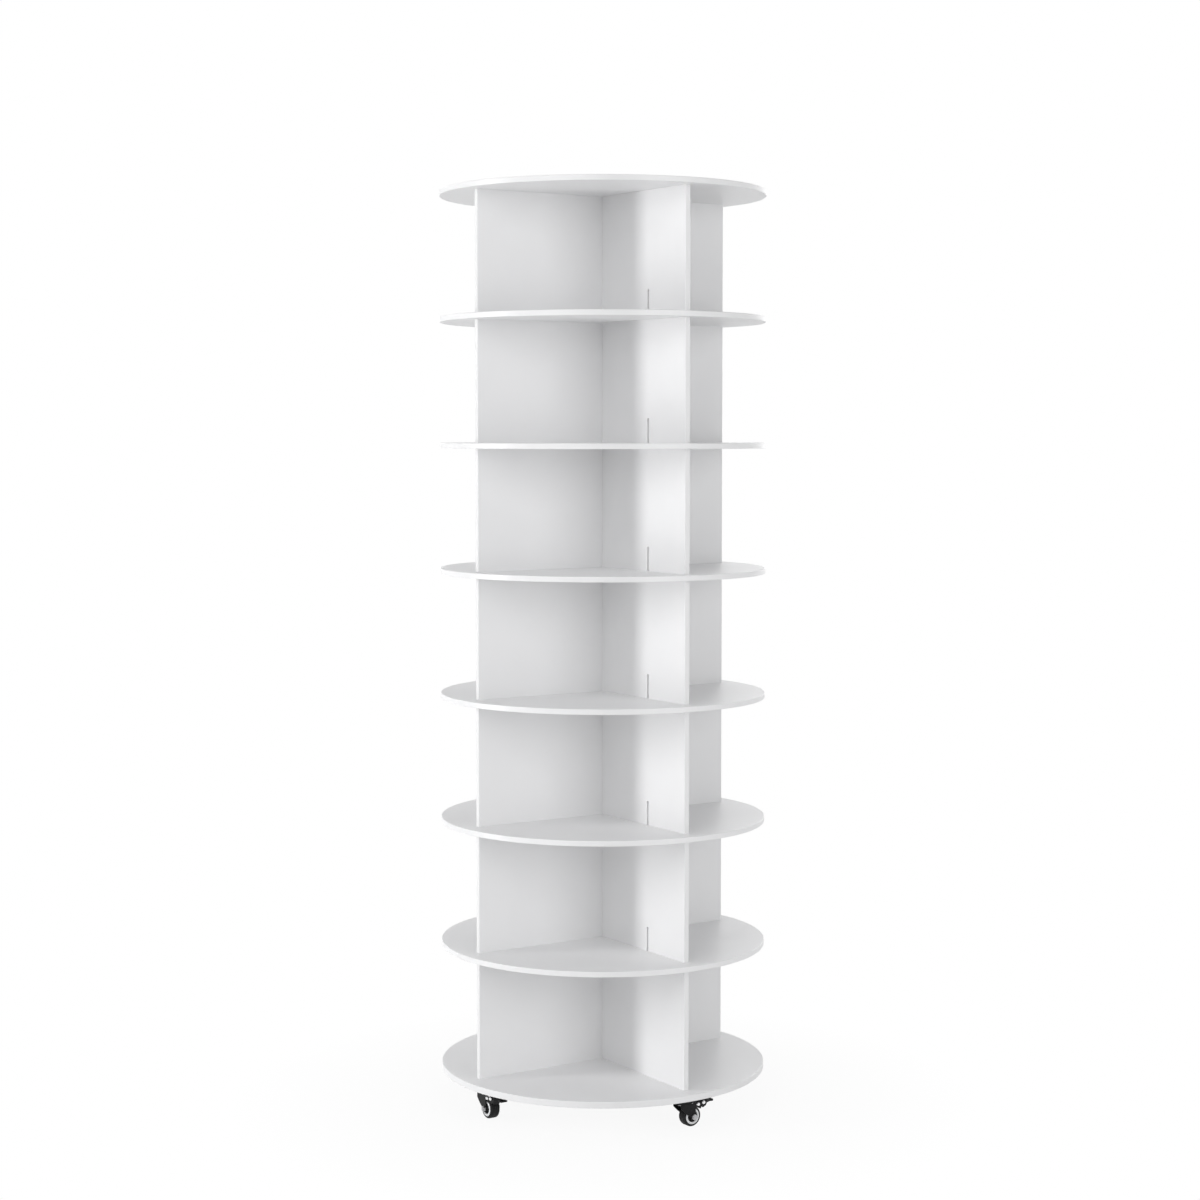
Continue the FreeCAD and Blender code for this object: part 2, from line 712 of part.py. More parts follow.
def make_plate_bolts():
    """Low round heads under the plates, nuts on top of the cross."""
    head_bottom = plate_bottom - d.plate_bolt_head_height
    length = cross_top + d.nut_height + d.thread_end - head_bottom
    head_radius = d.plate_bolt_head_radius
    pieces = []
    for turn in QUARTER_TURNS:
        for along, across in plate_bolt_points():
            x, y = d.caster_radius + along, across
            head = cone("bolt_head", head_radius - d.head_taper, head_radius, d.plate_bolt_head_height)
            shank = cylinder("bolt_shank", d.screw_radius, length)
            at = (x, y, head_bottom)
            bolt = fused("plate_bolt", [place(head, at, turn), place(shank, at, turn)])
            pieces += [bolt, hex_nut((x, y, cross_top), turn)]
    group("plate_bolts", pieces)


def from_point(trail, height, outline):
    """An outline that is given from a pin or axle, in the caster's frame."""
    return [(trail + along, height + up) for along, up in outline]


def make_fork(number, turn):
    """Bent sheet fork: crown, two legs down to the axle, and the brake's bracket."""
    body = new_body("caster_fork_%d" % number)
    profile = new_sketch(body, "YZ_Plane")
    axle_y, axle_z = d.caster_trail, wheel_radius
    pin_y, pin_z = d.lever_pin_trail, d.lever_pin_height
    eye = d.axle_eye_width / 2
    eye_bevel = eye - d.axle_eye_bevel_width
    eye_low = axle_z - d.axle_eye_depth + d.axle_eye_bevel_height
    front_edge = [
        (-d.fork_crown_reach, crown_top), (-d.fork_crown_reach, crown_bottom - d.crown_lip),
        *from_point(axle_y, axle_z, LEG_FRONT)]
    axle_eye = [
        (axle_y - eye, axle_z - d.axle_eye_shoulder), (axle_y - eye_bevel, eye_low),
        (axle_y, axle_z - d.axle_eye_depth),
        (axle_y + eye_bevel, eye_low), (axle_y + eye, axle_z - d.axle_eye_shoulder)]
    bracket = [
        *from_point(pin_y, pin_z, BRACKET_LOW), (pin_y + d.bracket_margin, pin_z - d.bracket_bevel),
        (pin_y + d.bracket_margin, pin_z + d.bracket_bevel), (pin_y, crown_top)]
    polygon(profile, front_edge + axle_eye + from_point(axle_y, axle_z, LEG_REAR) + bracket)
    pad(body, profile, fork_outer_width, symmetric=True)
    half = d.fork_inner_width / 2
    channel = new_sketch(body, "XZ_Plane")
    rectangle(channel, -half, 0, half, crown_bottom)
    pocket(body, channel)
    through_sheet = d.fork_sheet + 2 * OVERSHOOT
    behind_crown = new_sketch(body, "XY_Plane", crown_top + OVERSHOOT)
    rectangle(behind_crown, -half, d.fork_crown_end, half, pin_y + d.bracket_margin + OVERSHOOT)
    pocket(body, behind_crown, through_sheet)
    front = -d.fork_crown_reach.value
    soften(body, "Fillet", d.crown_corner_radius,
           lambda edge: is_line(edge, (0, 0, 1)) and abs(centre_of(edge).y - front) < TOLERANCE
           and abs(centre_of(edge).x) > half.value + TOLERANCE)
    swivel = new_sketch(body, "XY_Plane", crown_top + OVERSHOOT)
    circle(swivel, 0, 0, d.kingpin_radius + d.running_gap)
    pocket(body, swivel, through_sheet)
    cross_holes = new_sketch(body, "YZ_Plane")
    circle(cross_holes, axle_y, axle_z, d.axle_radius + d.running_gap)
    circle(cross_holes, pin_y, pin_z, d.lever_pin_radius + d.running_gap)
    circle(cross_holes, d.spring_pin_trail, d.spring_pin_height, d.lever_pin_radius + d.running_gap)
    pocket(body, cross_holes)
    place(body, (d.caster_radius, 0, 0), turn)


def through_pin(name, trail, height):
    """A pin across the fork with a round head at each end."""
    half = fork_outer_width / 2
    wide, narrow, head_height = d.pin_head_radius, d.pin_head_radius - d.head_taper, d.pin_head_height
    shank = place(cylinder(name, d.lever_pin_radius, fork_outer_width + head_height),
                  (-half - head_height / 2, trail, height), tilt=ALONG_X)
    outer = place(cone(name + "_head", wide, narrow, head_height), (half, trail, height), tilt=ALONG_X)
    inner = place(cone(name + "_head", narrow, wide, head_height),
                  (-half - head_height, trail, height), tilt=ALONG_X)
    return fused(name, [shank, outer, inner])


def make_axle_set(number, turn):
    """The fork's own steel pins: axle bolt, its nut, and the two brake pins."""
    half = fork_outer_width / 2
    trail, height = d.caster_trail, wheel_radius
    nut_height = d.axle_nut_height
    corners = d.axle_nut_across_corners
    start = -half - nut_height
    head = place(hexagon("axle_head", corners, nut_height), (start, trail, height), tilt=ALONG_X)
    shank = place(cylinder("axle_shank", d.axle_radius, fork_outer_width + 2 * nut_height + d.thread_end),
                  (start, trail, height), tilt=ALONG_X)
    nut = place(hexagon("axle_nut", corners, nut_height), (half, trail, height), tilt=ALONG_X)
    drill = place(cylinder("axle_drill", d.axle_radius + d.nut_bore_play, nut_height + 2 * OVERSHOOT),
                  (half - OVERSHOOT, trail, height), tilt=ALONG_X)
    lever_pin = through_pin("lever_pin", d.lever_pin_trail, d.lever_pin_height)
    spring_pin = through_pin("spring_pin", d.spring_pin_trail, d.spring_pin_height)
    pieces = [fused("axle_bolt", [head, shank]), drilled("axle_hex_nut", nut, drill), lever_pin, spring_pin]
    place(group("caster_pins_%d" % number, pieces), (d.caster_radius, 0, 0), turn)


def wheel_piece(name, number, turn, half_section):
    """A ring turned about the axle; the section is (along the axle, radius)."""
    body = new_body("%s_%d" % (name, number))
    section = new_sketch(body, "XY_Plane")
    polygon(section, half_section)
    revolve(body, section, "H_Axis")
    place(body, (d.caster_radius, d.caster_trail, wheel_radius), turn)
    return body


def make_wheel(number, turn):
    """Tyre, rim and hub, each its own ring."""
    half = d.wheel_width / 2
    seat = d.running_gap
    tyre = wheel_piece("caster_tyre", number, turn, [
        (-half, d.tyre_inner_radius + seat), (half, d.tyre_inner_radius + seat),
        (half, wheel_radius), (-half, wheel_radius)])
    soften(tyre, "Fillet", d.tread_edge_radius, lambda edge: is_circle(edge, wheel_radius))
    rim_outer = half - d.rim_inset
    rim_inner = half + d.rim_proud
    rim = wheel_piece("caster_rim", number, turn, [
        (-rim_inner, d.hub_radius + seat), (rim_inner, d.hub_radius + seat),
        (rim_outer, d.tyre_inner_radius), (-rim_outer, d.tyre_inner_radius)])
    soften(rim, "Fillet", d.rim_edge_radius, lambda edge: is_circle(edge, d.hub_radius + seat))
    web = half - d.hub_web_inset
    boss = half + d.boss_proud
    web_radius = d.hub_radius - d.hub_bevel
    bore = d.axle_radius + d.running_gap
    wheel_piece("caster_hub", number, turn, [
        (-boss, bore), (boss, bore), (boss, d.boss_radius), (web, d.boss_foot_radius),
        (web, web_radius), (web + d.hub_bevel, d.hub_radius), (-web - d.hub_bevel, d.hub_radius),
        (-web, web_radius), (-web, d.boss_foot_radius), (-boss, d.boss_radius)])


def make_brake_lever(number, turn):
    """Bent sheet lever: ears on the pin inside the fork, a rimmed pedal, and a shoe over the tyre."""
    body = new_body("brake_lever_%d" % number)
    pin_y, pin_z = d.lever_pin_trail, d.lever_pin_height
    under = pin_z + d.pedal_rise
    top = under + d.lever_sheet
    rim_low = pin_z - d.pedal_rim_drop
    tip = d.lever_tip_trail
    bend = pin_y + d.pedal_bend
    drop = d.pedal_drop
    ear_front = EAR_OUTLINE[0][0]
    ear_low = min(height for trail, height in EAR_OUTLINE)
    profile = new_sketch(body, "YZ_Plane")
    polygon(profile, [(pin_y + ear_front, top)] + from_point(pin_y, pin_z, EAR_OUTLINE) + [
        (tip, rim_low), (tip, top - drop), (bend, top)])
    pad(body, profile, d.lever_outer_width, symmetric=True)
    inner_half = d.lever_outer_width / 2 - d.lever_sheet
    between_ears = new_sketch(body, "XY_Plane", under)
    rectangle(between_ears, -inner_half, pin_y + ear_front - OVERSHOOT, inner_half, bend)
    pocket(body, between_ears, d.pedal_rise - ear_low + OVERSHOOT)
    tip_inside = tip - d.lever_sheet
    under_pedal = new_sketch(body, "YZ_Plane")
    polygon(under_pedal, [
        (bend - OVERSHOOT, under), (bend, under), (tip_inside, under - drop),
        (tip_inside, rim_low - OVERSHOOT), (bend - OVERSHOOT, rim_low - OVERSHOOT)])
    pocket(body, under_pedal, d.lever_tip_width - 2 * d.lever_sheet, symmetric=True)
    tip_half, ear_half = d.lever_tip_width / 2, d.lever_outer_width / 2
    beside_tip = new_sketch(body, "XY_Plane", top + OVERSHOOT)
    for side in (-1, 1):
        polygon(beside_tip, [
            (side * (ear_half + OVERSHOOT), bend - OVERSHOOT), (side * ear_half, bend - OVERSHOOT),
            (side * tip_half, bend + d.pedal_taper_length), (side * tip_half, tip + OVERSHOOT),
            (side * (ear_half + OVERSHOOT), tip + OVERSHOOT)])
    pocket(body, beside_tip, top - rim_low + 2 * OVERSHOOT)
    soften(body, "Fillet", d.pedal_corner_radius,
           lambda edge: is_line(edge, (0, 0, 1)) and centre_of(edge).y > tip.value - TOLERANCE)
    shoe = new_sketch(body, "YZ_Plane")
    polygon(shoe, [(pin_y - SHOE_ROOT_HALF, under)] + from_point(pin_y, pin_z, SHOE_OUTLINE) + [
        (pin_y + SHOE_ROOT_HALF, under)])
    pad(body, shoe, d.lever_shoe_width, symmetric=True)
    pin_hole = new_sketch(body, "YZ_Plane")
    circle(pin_hole, pin_y, pin_z, d.lever_pin_radius + d.running_gap)
    pocket(body, pin_hole)
    place(body, (d.caster_radius, 0, 0), turn)


def make_casters():
    for number, turn in enumerate(QUARTER_TURNS, 1):
        make_caster_plate(number, turn)
        make_fork(number, turn)
        make_axle_set(number, turn)
        make_wheel(number, turn)
        make_brake_lever(number, turn)
    make_kingpins()
    make_plate_bolts()


# ---------------------------------------------------------------- build, check and write

make_boards()
make_dividers()
make_dowels()
make_cross()
make_rings()
make_cage_and_balls()
make_bearing_screws()
make_casters()
doc.recompute()

for item in doc.Objects:
    if "Invalid" in item.State or "Error" in item.State:
        raise RuntimeError("%s did not recompute" % item.Label)
for node in nodes:
    if node.Shape.isNull() or not node.Shape.isValid():
        raise RuntimeError("%s has no valid shape" % node.Label)

os.makedirs("parts", exist_ok=True)
for node in nodes:
    node.Shape.exportStep("parts/%s.step" % node.Label)
print("%d nodes, %d solids" % (len(nodes), sum(len(node.Shape.Solids) for node in nodes)))
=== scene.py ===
import math

import bmesh
import bpy
from mathutils import Euler, Matrix, Vector


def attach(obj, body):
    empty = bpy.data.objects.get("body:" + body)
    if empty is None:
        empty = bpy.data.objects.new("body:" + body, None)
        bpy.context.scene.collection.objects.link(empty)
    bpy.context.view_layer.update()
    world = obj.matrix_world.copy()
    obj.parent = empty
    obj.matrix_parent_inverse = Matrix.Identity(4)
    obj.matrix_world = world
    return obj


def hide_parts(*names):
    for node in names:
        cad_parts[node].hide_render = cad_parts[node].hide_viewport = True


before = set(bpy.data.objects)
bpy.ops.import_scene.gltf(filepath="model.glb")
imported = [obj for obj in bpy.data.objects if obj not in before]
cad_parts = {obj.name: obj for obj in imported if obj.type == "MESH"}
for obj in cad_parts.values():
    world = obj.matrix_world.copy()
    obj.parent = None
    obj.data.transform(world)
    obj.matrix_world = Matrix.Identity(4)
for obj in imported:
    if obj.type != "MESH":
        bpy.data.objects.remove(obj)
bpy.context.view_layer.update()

# The rotating shoe tower. Metres, in the CAD frame: +Z up, the floor at zero, the axis at the origin.
BOARD_RADIUS = 0.300
DIVIDER_REACH = 0.270
CASTER_RADIUS = 0.255
CASTER_TRAIL = 0.018
WHEEL_RADIUS = 0.0185
WHEEL_HALF = 0.0095
# Brake pins of a caster, as place along its trail and height, and the radius of both
LEVER_PIN = (0.0395, 0.0418)
SPRING_PIN = (0.0276, 0.0402)
PIN_RADIUS = 0.0015
CASTERS = (1, 2, 3, 4)
QUARTER_TURN = 90


# ---------------------------------------------------------------- material helpers

class Material:
    """A procedural material: a Principled shader and short ways to add nodes to it."""

    def __init__(self, name, roughness, metallic=0.0, specular=0.5):
        self.material = bpy.data.materials.new(name)
        self.material.use_nodes = True
        self.tree = self.material.node_tree
        self.shader = self.tree.nodes["Principled BSDF"]
        self.shader.inputs["Roughness"].default_value = roughness
        self.shader.inputs["Metallic"].default_value = metallic
        self.shader.inputs["Specular IOR Level"].default_value = specular
        self.place = self.node("ShaderNodeTexCoord").outputs["Object"]

    def node(self, kind, **settings):
        made = self.tree.nodes.new(kind)
        for key, value in settings.items():
            setattr(made, key, value)
        return made

    def link(self, source, target):
        """Join a socket to an input, or set the input to a plain value."""
        if hasattr(source, "node"):
            self.tree.links.new(source, target)
        else:
            target.default_value = source

    def noise(self, scale, detail=3.0, roughness=0.5, at=None):
        made = self.node("ShaderNodeTexNoise")
        made.inputs["Scale"].default_value = scale
        made.inputs["Detail"].default_value = detail
        made.inputs["Roughness"].default_value = roughness
        self.link(at or self.place, made.inputs["Vector"])
        return made.outputs["Fac"]

    def stretched(self, scale):
        made = self.node("ShaderNodeMapping")
        made.inputs["Scale"].default_value = scale
        self.link(self.place, made.inputs["Vector"])
        return made.outputs["Vector"]

    def math(self, operation, first, second=0.0):
        made = self.node("ShaderNodeMath", operation=operation)
        for socket, value in zip(made.inputs, (first, second)):
            self.link(value, socket)
        return made.outputs["Value"]

    def ramp(self, value, low, high, to_low=0.0, to_high=1.0):
        made = self.node("ShaderNodeMapRange", clamp=True)
        for socket, number in zip(made.inputs, (value, low, high, to_low, to_high)):
            self.link(number, socket)
        return made.outputs["Result"]

    def mix(self, factor, first, second):
        made = self.node("ShaderNodeMix", data_type="RGBA")
        self.link(factor, made.inputs["Factor"])
        self.link(first, made.inputs["A"])
        self.link(second, made.inputs["B"])
        return made.outputs["Result"]

    def axes(self):
        made = self.node("ShaderNodeSeparateXYZ")
        self.link(self.place, made.inputs["Vector"])
        return made.outputs["X"], made.outputs["Y"], made.outputs["Z"]

    def from_axis(self):
        """Distance from the Z axis."""
        x, y = self.axes()[:2]
        squares = self.math("ADD", self.math("MULTIPLY", x, x), self.math("MULTIPLY", y, y))
        return self.math("SQRT", squares)

    def colour(self, source):
        self.link(source, self.shader.inputs["Base Color"])

    def roughness(self, source):
        self.link(source, self.shader.inputs["Roughness"])

    def bump(self, height, strength, distance):
        made = self.node("ShaderNodeBump")
        made.inputs["Strength"].default_value = strength
        made.inputs["Distance"].default_value = distance
        self.link(height, made.inputs["Height"])
        self.link(made.outputs["Normal"], self.shader.inputs["Normal"])


def rgb(red, green, blue):
    return (red, green, blue, 1.0)


def background_rays(tree):
    """One for rays from the camera, reflections and refractions, and zero for all other light."""
    path = tree.nodes.new("ShaderNodeLightPath").outputs
    seen = path["Is Camera Ray"]
    for other in ("Is Glossy Ray", "Is Transmission Ray"):
        larger = tree.nodes.new("ShaderNodeMath")
        larger.operation = "MAXIMUM"
        tree.links.new(seen, larger.inputs[0])
        tree.links.new(path[other], larger.inputs[1])
        seen = larger.outputs["Value"]
    return seen


# ---------------------------------------------------------------- materials

# White laminate. Places near an edge are counted outward from EDGE_MARGIN inside it: over the first pair
# the seam comes in, and over the second it gives way to the edge band.
EDGE_MARGIN = 0.0015
SEAM = (0.00045, 0.0006)
BAND = (0.0006, 0.0008)
GRAIN_SHARE = 0.10
BAND_SHARE = 0.6
SEAM_SHARE = 0.35
BAND_GLOSS = 0.09
SEAM_DEPTH = -2.0
# Heights between which the dull axle bolts give way to the bright pins
AXLES_END, PINS_START = 0.028, 0.034
PIN_GLOSS = 0.12
LATHE_MARKS_PER_METRE = 2600.0


def white_laminate(name, edge_distance):
    """Satin white foil on board, with a slightly glossier edge band and its fine seam."""
    made = Material(name, roughness=0.45)
    seam_at = edge_distance(made)
    band = made.ramp(seam_at, *BAND)
    seam = made.math("SUBTRACT", made.ramp(seam_at, *SEAM), band)
    cloud = made.noise(scale=7.0, detail=2.0)
    grain = made.noise(scale=1400.0, detail=2.0)
    tone = made.mix(made.ramp(cloud, 0.3, 0.7), rgb(0.857, 0.857, 0.863), rgb(0.878, 0.878, 0.882))
    tone = made.mix(made.math("MULTIPLY", grain, GRAIN_SHARE), tone, rgb(0.82, 0.82, 0.828))
    tone = made.mix(made.math("MULTIPLY", band, BAND_SHARE), tone, rgb(0.89, 0.89, 0.893))
    made.colour(made.mix(made.math("MULTIPLY", seam, SEAM_SHARE), tone, rgb(0.62, 0.62, 0.63)))
    scuff = made.ramp(made.noise(scale=38.0, detail=5.0, roughness=0.65), 0.56, 0.72)
    made.roughness(made.math("SUBTRACT", made.ramp(scuff, 0.0, 1.0, to_low=0.44, to_high=0.53),
                             made.math("MULTIPLY", band, BAND_GLOSS)))
    made.bump(made.math("ADD", grain, made.math("MULTIPLY", seam, SEAM_DEPTH)), strength=0.10,
              distance=0.00012)
    return made.material


def board_edge(made):
    return made.math("SUBTRACT", made.from_axis(), BOARD_RADIUS - EDGE_MARGIN)


def divider_edge(axis):
    def distance(made):
        return made.math("SUBTRACT", made.math("ABSOLUTE", made.axes()[axis]), DIVIDER_REACH - EDGE_MARGIN)
    return distance


def powder_coat(name):
    """Satin black powder coat: fine orange peel and a few duller patches."""
    made = Material(name, roughness=0.42, specular=0.16)
    peel = made.noise(scale=1100.0, detail=3.0)
    patch = made.noise(scale=60.0, detail=4.0, roughness=0.6)
    made.colour(made.mix(made.ramp(patch, 0.35, 0.75), rgb(0.006, 0.006, 0.0065),
                         rgb(0.013, 0.013, 0.0135)))
    made.roughness(made.ramp(patch, 0.3, 0.7, to_low=0.36, to_high=0.50))
    made.bump(peel, strength=0.25, distance=0.0002)
    return made.material


def turned_lines(made):
    """A place that changes fast away from the tower's axis and upward, but not round it."""
    joined = made.node("ShaderNodeCombineXYZ")
    made.link(made.math("MULTIPLY", made.from_axis(), LATHE_MARKS_PER_METRE), joined.inputs["X"])
    made.link(made.math("MULTIPLY", made.axes()[2], LATHE_MARKS_PER_METRE), joined.inputs["Y"])
    return joined.outputs["Vector"]


def turned_steel(name, colour, dark, smooth, rough):
    """Plated steel with fine marks from the lathe, round the tower's axis."""
    made = Material(name, roughness=0.3, metallic=1.0)
    rings = made.noise(scale=1.0, detail=2.0, at=turned_lines(made))
    blotch = made.noise(scale=90.0, detail=4.0, roughness=0.6)
    made.colour(made.mix(made.ramp(blotch, 0.35, 0.7), colour, dark))
    made.roughness(made.ramp(rings, 0.3, 0.7, smooth, rough))
    made.bump(rings, strength=0.12, distance=0.0001)
    return made.material


def plated_steel(name):
    """Bright plating with faint handling marks, duller on the axle bolts and their nuts."""
    made = Material(name, roughness=0.2, metallic=1.0)
    mark = made.noise(scale=420.0, detail=4.0, roughness=0.6)
    worn = made.ramp(mark, 0.35, 0.75)
    above_axles = made.ramp(made.axes()[2], AXLES_END, PINS_START)
    pins = made.mix(worn, rgb(0.88, 0.88, 0.89), rgb(0.76, 0.76, 0.77))
    axles = made.mix(worn, rgb(0.47, 0.47, 0.48), rgb(0.36, 0.36, 0.37))
    made.colour(made.mix(above_axles, axles, pins))
    made.roughness(made.math("SUBTRACT", made.ramp(mark, 0.3, 0.7, to_low=0.26, to_high=0.42),
                             made.math("MULTIPLY", above_axles, PIN_GLOSS)))
    made.bump(mark, strength=0.08, distance=0.0001)
    return made.material


def tyre_rubber(name):
    """Matt black rubber, greyer in patches with dust."""
    made = Material(name, roughness=0.7, specular=0.25)
    grit = made.noise(scale=1500.0, detail=4.0, roughness=0.65)
    dust = made.ramp(made.noise(scale=160.0, detail=4.0, roughness=0.6), 0.5, 0.8, to_low=0.0, to_high=0.6)
    made.colour(made.mix(dust, rgb(0.010, 0.010, 0.0105), rgb(0.028, 0.0275, 0.027)))
    made.roughness(made.ramp(grit, 0.3, 0.7, to_low=0.58, to_high=0.78))
    made.bump(grit, strength=0.3, distance=0.0002)
    return made.material


def moulded_plastic(name, light, dark, smooth, rough):
    """Moulded plastic with a faint flow pattern and a fine sparked texture."""
    made = Material(name, roughness=0.4)
    flow = made.noise(scale=130.0, at=made.stretched((1.0, 1.0, 2.5)))
    spark = made.noise(scale=2200.0, detail=2.0)
    made.colour(made.mix(made.ramp(flow, 0.35, 0.7), light, dark))
    made.roughness(made.ramp(flow, 0.3, 0.7, smooth, rough))
    made.bump(spark, strength=0.12, distance=0.0001)
    return made.material


def beech(name):
    """Plain turned beech, its grain along the dowel."""
    made = Material(name, roughness=0.55)
    grain = made.noise(scale=900.0, detail=5.0, roughness=0.6, at=made.stretched((1.0, 1.0, 0.06)))
    made.colour(made.mix(made.ramp(grain, 0.3, 0.7), rgb(0.62, 0.44, 0.27), rgb(0.42, 0.27, 0.15)))
    made.roughness(made.ramp(grain, 0.3, 0.7, to_low=0.48, to_high=0.64))
    made.bump(grain, strength=0.2, distance=0.0002)
    return made.material


board_white = white_laminate("board_white", board_edge)
divider_x_white = white_laminate("divider_x_white", divider_edge(0))
divider_y_white = white_laminate("divider_y_white", divider_edge(1))
black_steel = powder_coat("black_powder_coat")
zinc = turned_steel("zinc_plate", rgb(0.60, 0.60, 0.59), rgb(0.48, 0.48, 0.47), smooth=0.30, rough=0.46)
bright = plated_steel("bright_plate")
rubber = tyre_rubber("black_rubber")
rim_grey = moulded_plastic("rim_grey", rgb(0.87, 0.88, 0.89), rgb(0.81, 0.82, 0.83), smooth=0.22,
                           rough=0.36)
nylon = moulded_plastic("black_nylon", rgb(0.022, 0.022, 0.023), rgb(0.034, 0.034, 0.035), smooth=0.38,
                        rough=0.52)
dowel_beech = beech("beech")


# ---------------------------------------------------------------- CAD nodes' materials

# Starts of the CAD nodes' names and their material; every other node is bright plated steel
NODE_MATERIALS = (
    (("bottom_board", "shelf_board", "top_board"), board_white),
    ("divider_x", divider_x_white),
    ("divider_y", divider_y_white),
    (("bearing_outer_ring", "bearing_inner_ring"), zinc),
    (("base_cross", "caster_plate", "caster_fork", "brake_lever"), black_steel),
    ("caster_rim", rim_grey),
    ("caster_tyre", rubber),
    (("caster_hub", "bearing_cage"), nylon),
    ("connector_dowels", dowel_beech),
)


def dress(node):
    """Give a CAD node its material in its own slots."""
    material = next((made for starts, made in NODE_MATERIALS if node.startswith(starts)), bright)
    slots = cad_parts[node].data.materials
    if not slots:
        slots.append(material)
    for index in range(len(slots)):
        slots[index] = material


for node_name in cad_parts:
    dress(node_name)


# ---------------------------------------------------------------- mesh helpers

SHARP_ANGLE = 35


def caster_matrix(number):
    """From a caster's own frame (x outward, y along the trail) to the tower's."""
    turn = Matrix.Rotation(math.radians(QUARTER_TURN * (number - 1)), 4, "Z")
    return turn @ Matrix.Translation((CASTER_RADIUS, 0, 0))


def wheel_matrix(number):
    return caster_matrix(number) @ Matrix.Translation((0, CASTER_TRAIL, WHEEL_RADIUS))


def finished(name, mesh_data, material, body, matrix):
    """Turn a bmesh into a smooth-shaded piece that rides on a body."""
    bmesh.ops.recalc_face_normals(mesh_data, faces=mesh_data.faces)
    mesh = bpy.data.meshes.new(name)
    mesh_data.to_mesh(mesh)
    mesh_data.free()
    mesh.transform(matrix)
    mesh.polygons.foreach_set("use_smooth", [True] * len(mesh.polygons))
    mesh.set_sharp_from_angle(angle=math.radians(SHARP_ANGLE))
    mesh.materials.append(material)
    piece = bpy.data.objects.new(name, mesh)
    bpy.context.scene.collection.objects.link(piece)
    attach(piece, body)
    return piece


def bridge(into, here, there):
    """Join two rings of points of the same length with quads."""
    for index in range(len(here)):
        after = (index + 1) % len(here)
        into.faces.new((here[index], here[after], there[after], there[index]))


def lathe(into, profile, segments):
    """Turn a closed (along, radius) outline round X."""
    rings = []
    for step in range(segments):
        turn = 2 * math.pi * step / segments - math.pi / 2
        rings.append([into.verts.new((along, radius * math.cos(turn), radius * math.sin(turn)))
                      for along, radius in profile])
    for step in range(segments):
        bridge(into, rings[step], rings[(step + 1) % segments])


def arc(centre, radius, start, end, steps):
    """Points of an arc in an outline, angles in degrees."""
    for step in range(steps + 1):
        turn = math.radians(start + (end - start) * step / steps)
        yield centre[0] + radius * math.cos(turn), centre[1] + radius * math.sin(turn)


# ---------------------------------------------------------------- tyres

TYRE_INNER = 0.01426
SHOULDER = 0.004
SHOULDER_STEPS = 12
# Lines round the tread, as place along the axle, half their width and depth
TREAD_LINES = ((-0.0045, 0.0004, 0.00035), (0.0, 0.0003, 0.00015), (0.0045, 0.0004, 0.00035))
WHEEL_SEGMENTS = 96


def tyre_profile():
    """Round shoulders, a shallow groove on each side of the tread and a mould line in its middle."""
    edge, centre = WHEEL_HALF - SHOULDER, WHEEL_RADIUS - SHOULDER
    points = [(-WHEEL_HALF, TYRE_INNER)]
    points += arc((-edge, centre), SHOULDER, 180, 90, SHOULDER_STEPS)
    for at, half_width, depth in TREAD_LINES:
        points += [(at - half_width, WHEEL_RADIUS), (at, WHEEL_RADIUS - depth),
                   (at + half_width, WHEEL_RADIUS)]
    points += arc((edge, centre), SHOULDER, 90, 0, SHOULDER_STEPS)
    return points + [(WHEEL_HALF, TYRE_INNER)]


def make_tyre(number):
    shape = bmesh.new()
    lathe(shape, tyre_profile(), WHEEL_SEGMENTS)
    piece = finished("tyre_%d" % number, shape, rubber, "wheel_%d" % number,
                     wheel_matrix(number))
    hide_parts("caster_tyre_%d" % number)


# ---------------------------------------------------------------- hubs

HUB_RADIUS = 0.0102
BOSS_HALF = 0.0112
BORE = 0.00306
# One face of the hub from its boss to its outer band, as place along the axle and radius
HUB_FACE = ((BOSS_HALF, 0.0043), (BOSS_HALF - 0.0003, 0.0046), (0.0034, 0.0053), (0.0030, 0.0058),
            (0.0030, 0.0078), (0.0036, 0.0085), (0.0077, 0.0090), (0.0080, 0.0093), (0.0079, HUB_RADIUS))
HUB_SEGMENTS = 72
RIBS = 6
RIB_HALF_LENGTH = 0.0061
RIB_HALF_THICKNESS = 0.0007
RIB_INNER, RIB_OUTER = 0.0044, 0.0093
RIB_BEVEL = 0.00022
RIB_BEVEL_STEPS = 2


def hub_rib(into, turn):
    """A rib from the boss to the hub's outer band, turned about the axle."""
    low = (-RIB_HALF_LENGTH, -RIB_HALF_THICKNESS, RIB_INNER)
    high = (RIB_HALF_LENGTH, RIB_HALF_THICKNESS, RIB_OUTER)
    made = bmesh.ops.create_cube(into, size=1.0)["verts"]
    spin = Matrix.Rotation(turn, 4, "X")
    for vert in made:
        pick = [high[axis] if vert.co[axis] > 0 else low[axis] for axis in range(3)]
        vert.co = spin @ Vector(pick)
    edges = list({edge for vert in made for edge in vert.link_edges})
    bmesh.ops.bevel(into, geom=edges, offset=RIB_BEVEL, segments=RIB_BEVEL_STEPS, affect="EDGES")


def make_hub(number):
    """Boss, web and outer band with six ribs that stand out on both faces."""
    shape = bmesh.new()
    outer_face = [(BOSS_HALF, BORE), *HUB_FACE]
    inner_face = [(-along, radius) for along, radius in reversed(outer_face)]
    lathe(shape, outer_face + inner_face, HUB_SEGMENTS)
    for rib in range(RIBS):
        hub_rib(shape, 2 * math.pi * rib / RIBS)
    piece = finished("hub_%d" % number, shape, nylon, "wheel_%d" % number,
                     wheel_matrix(number))
    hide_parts("caster_hub_%d" % number)


# ---------------------------------------------------------------- brake springs

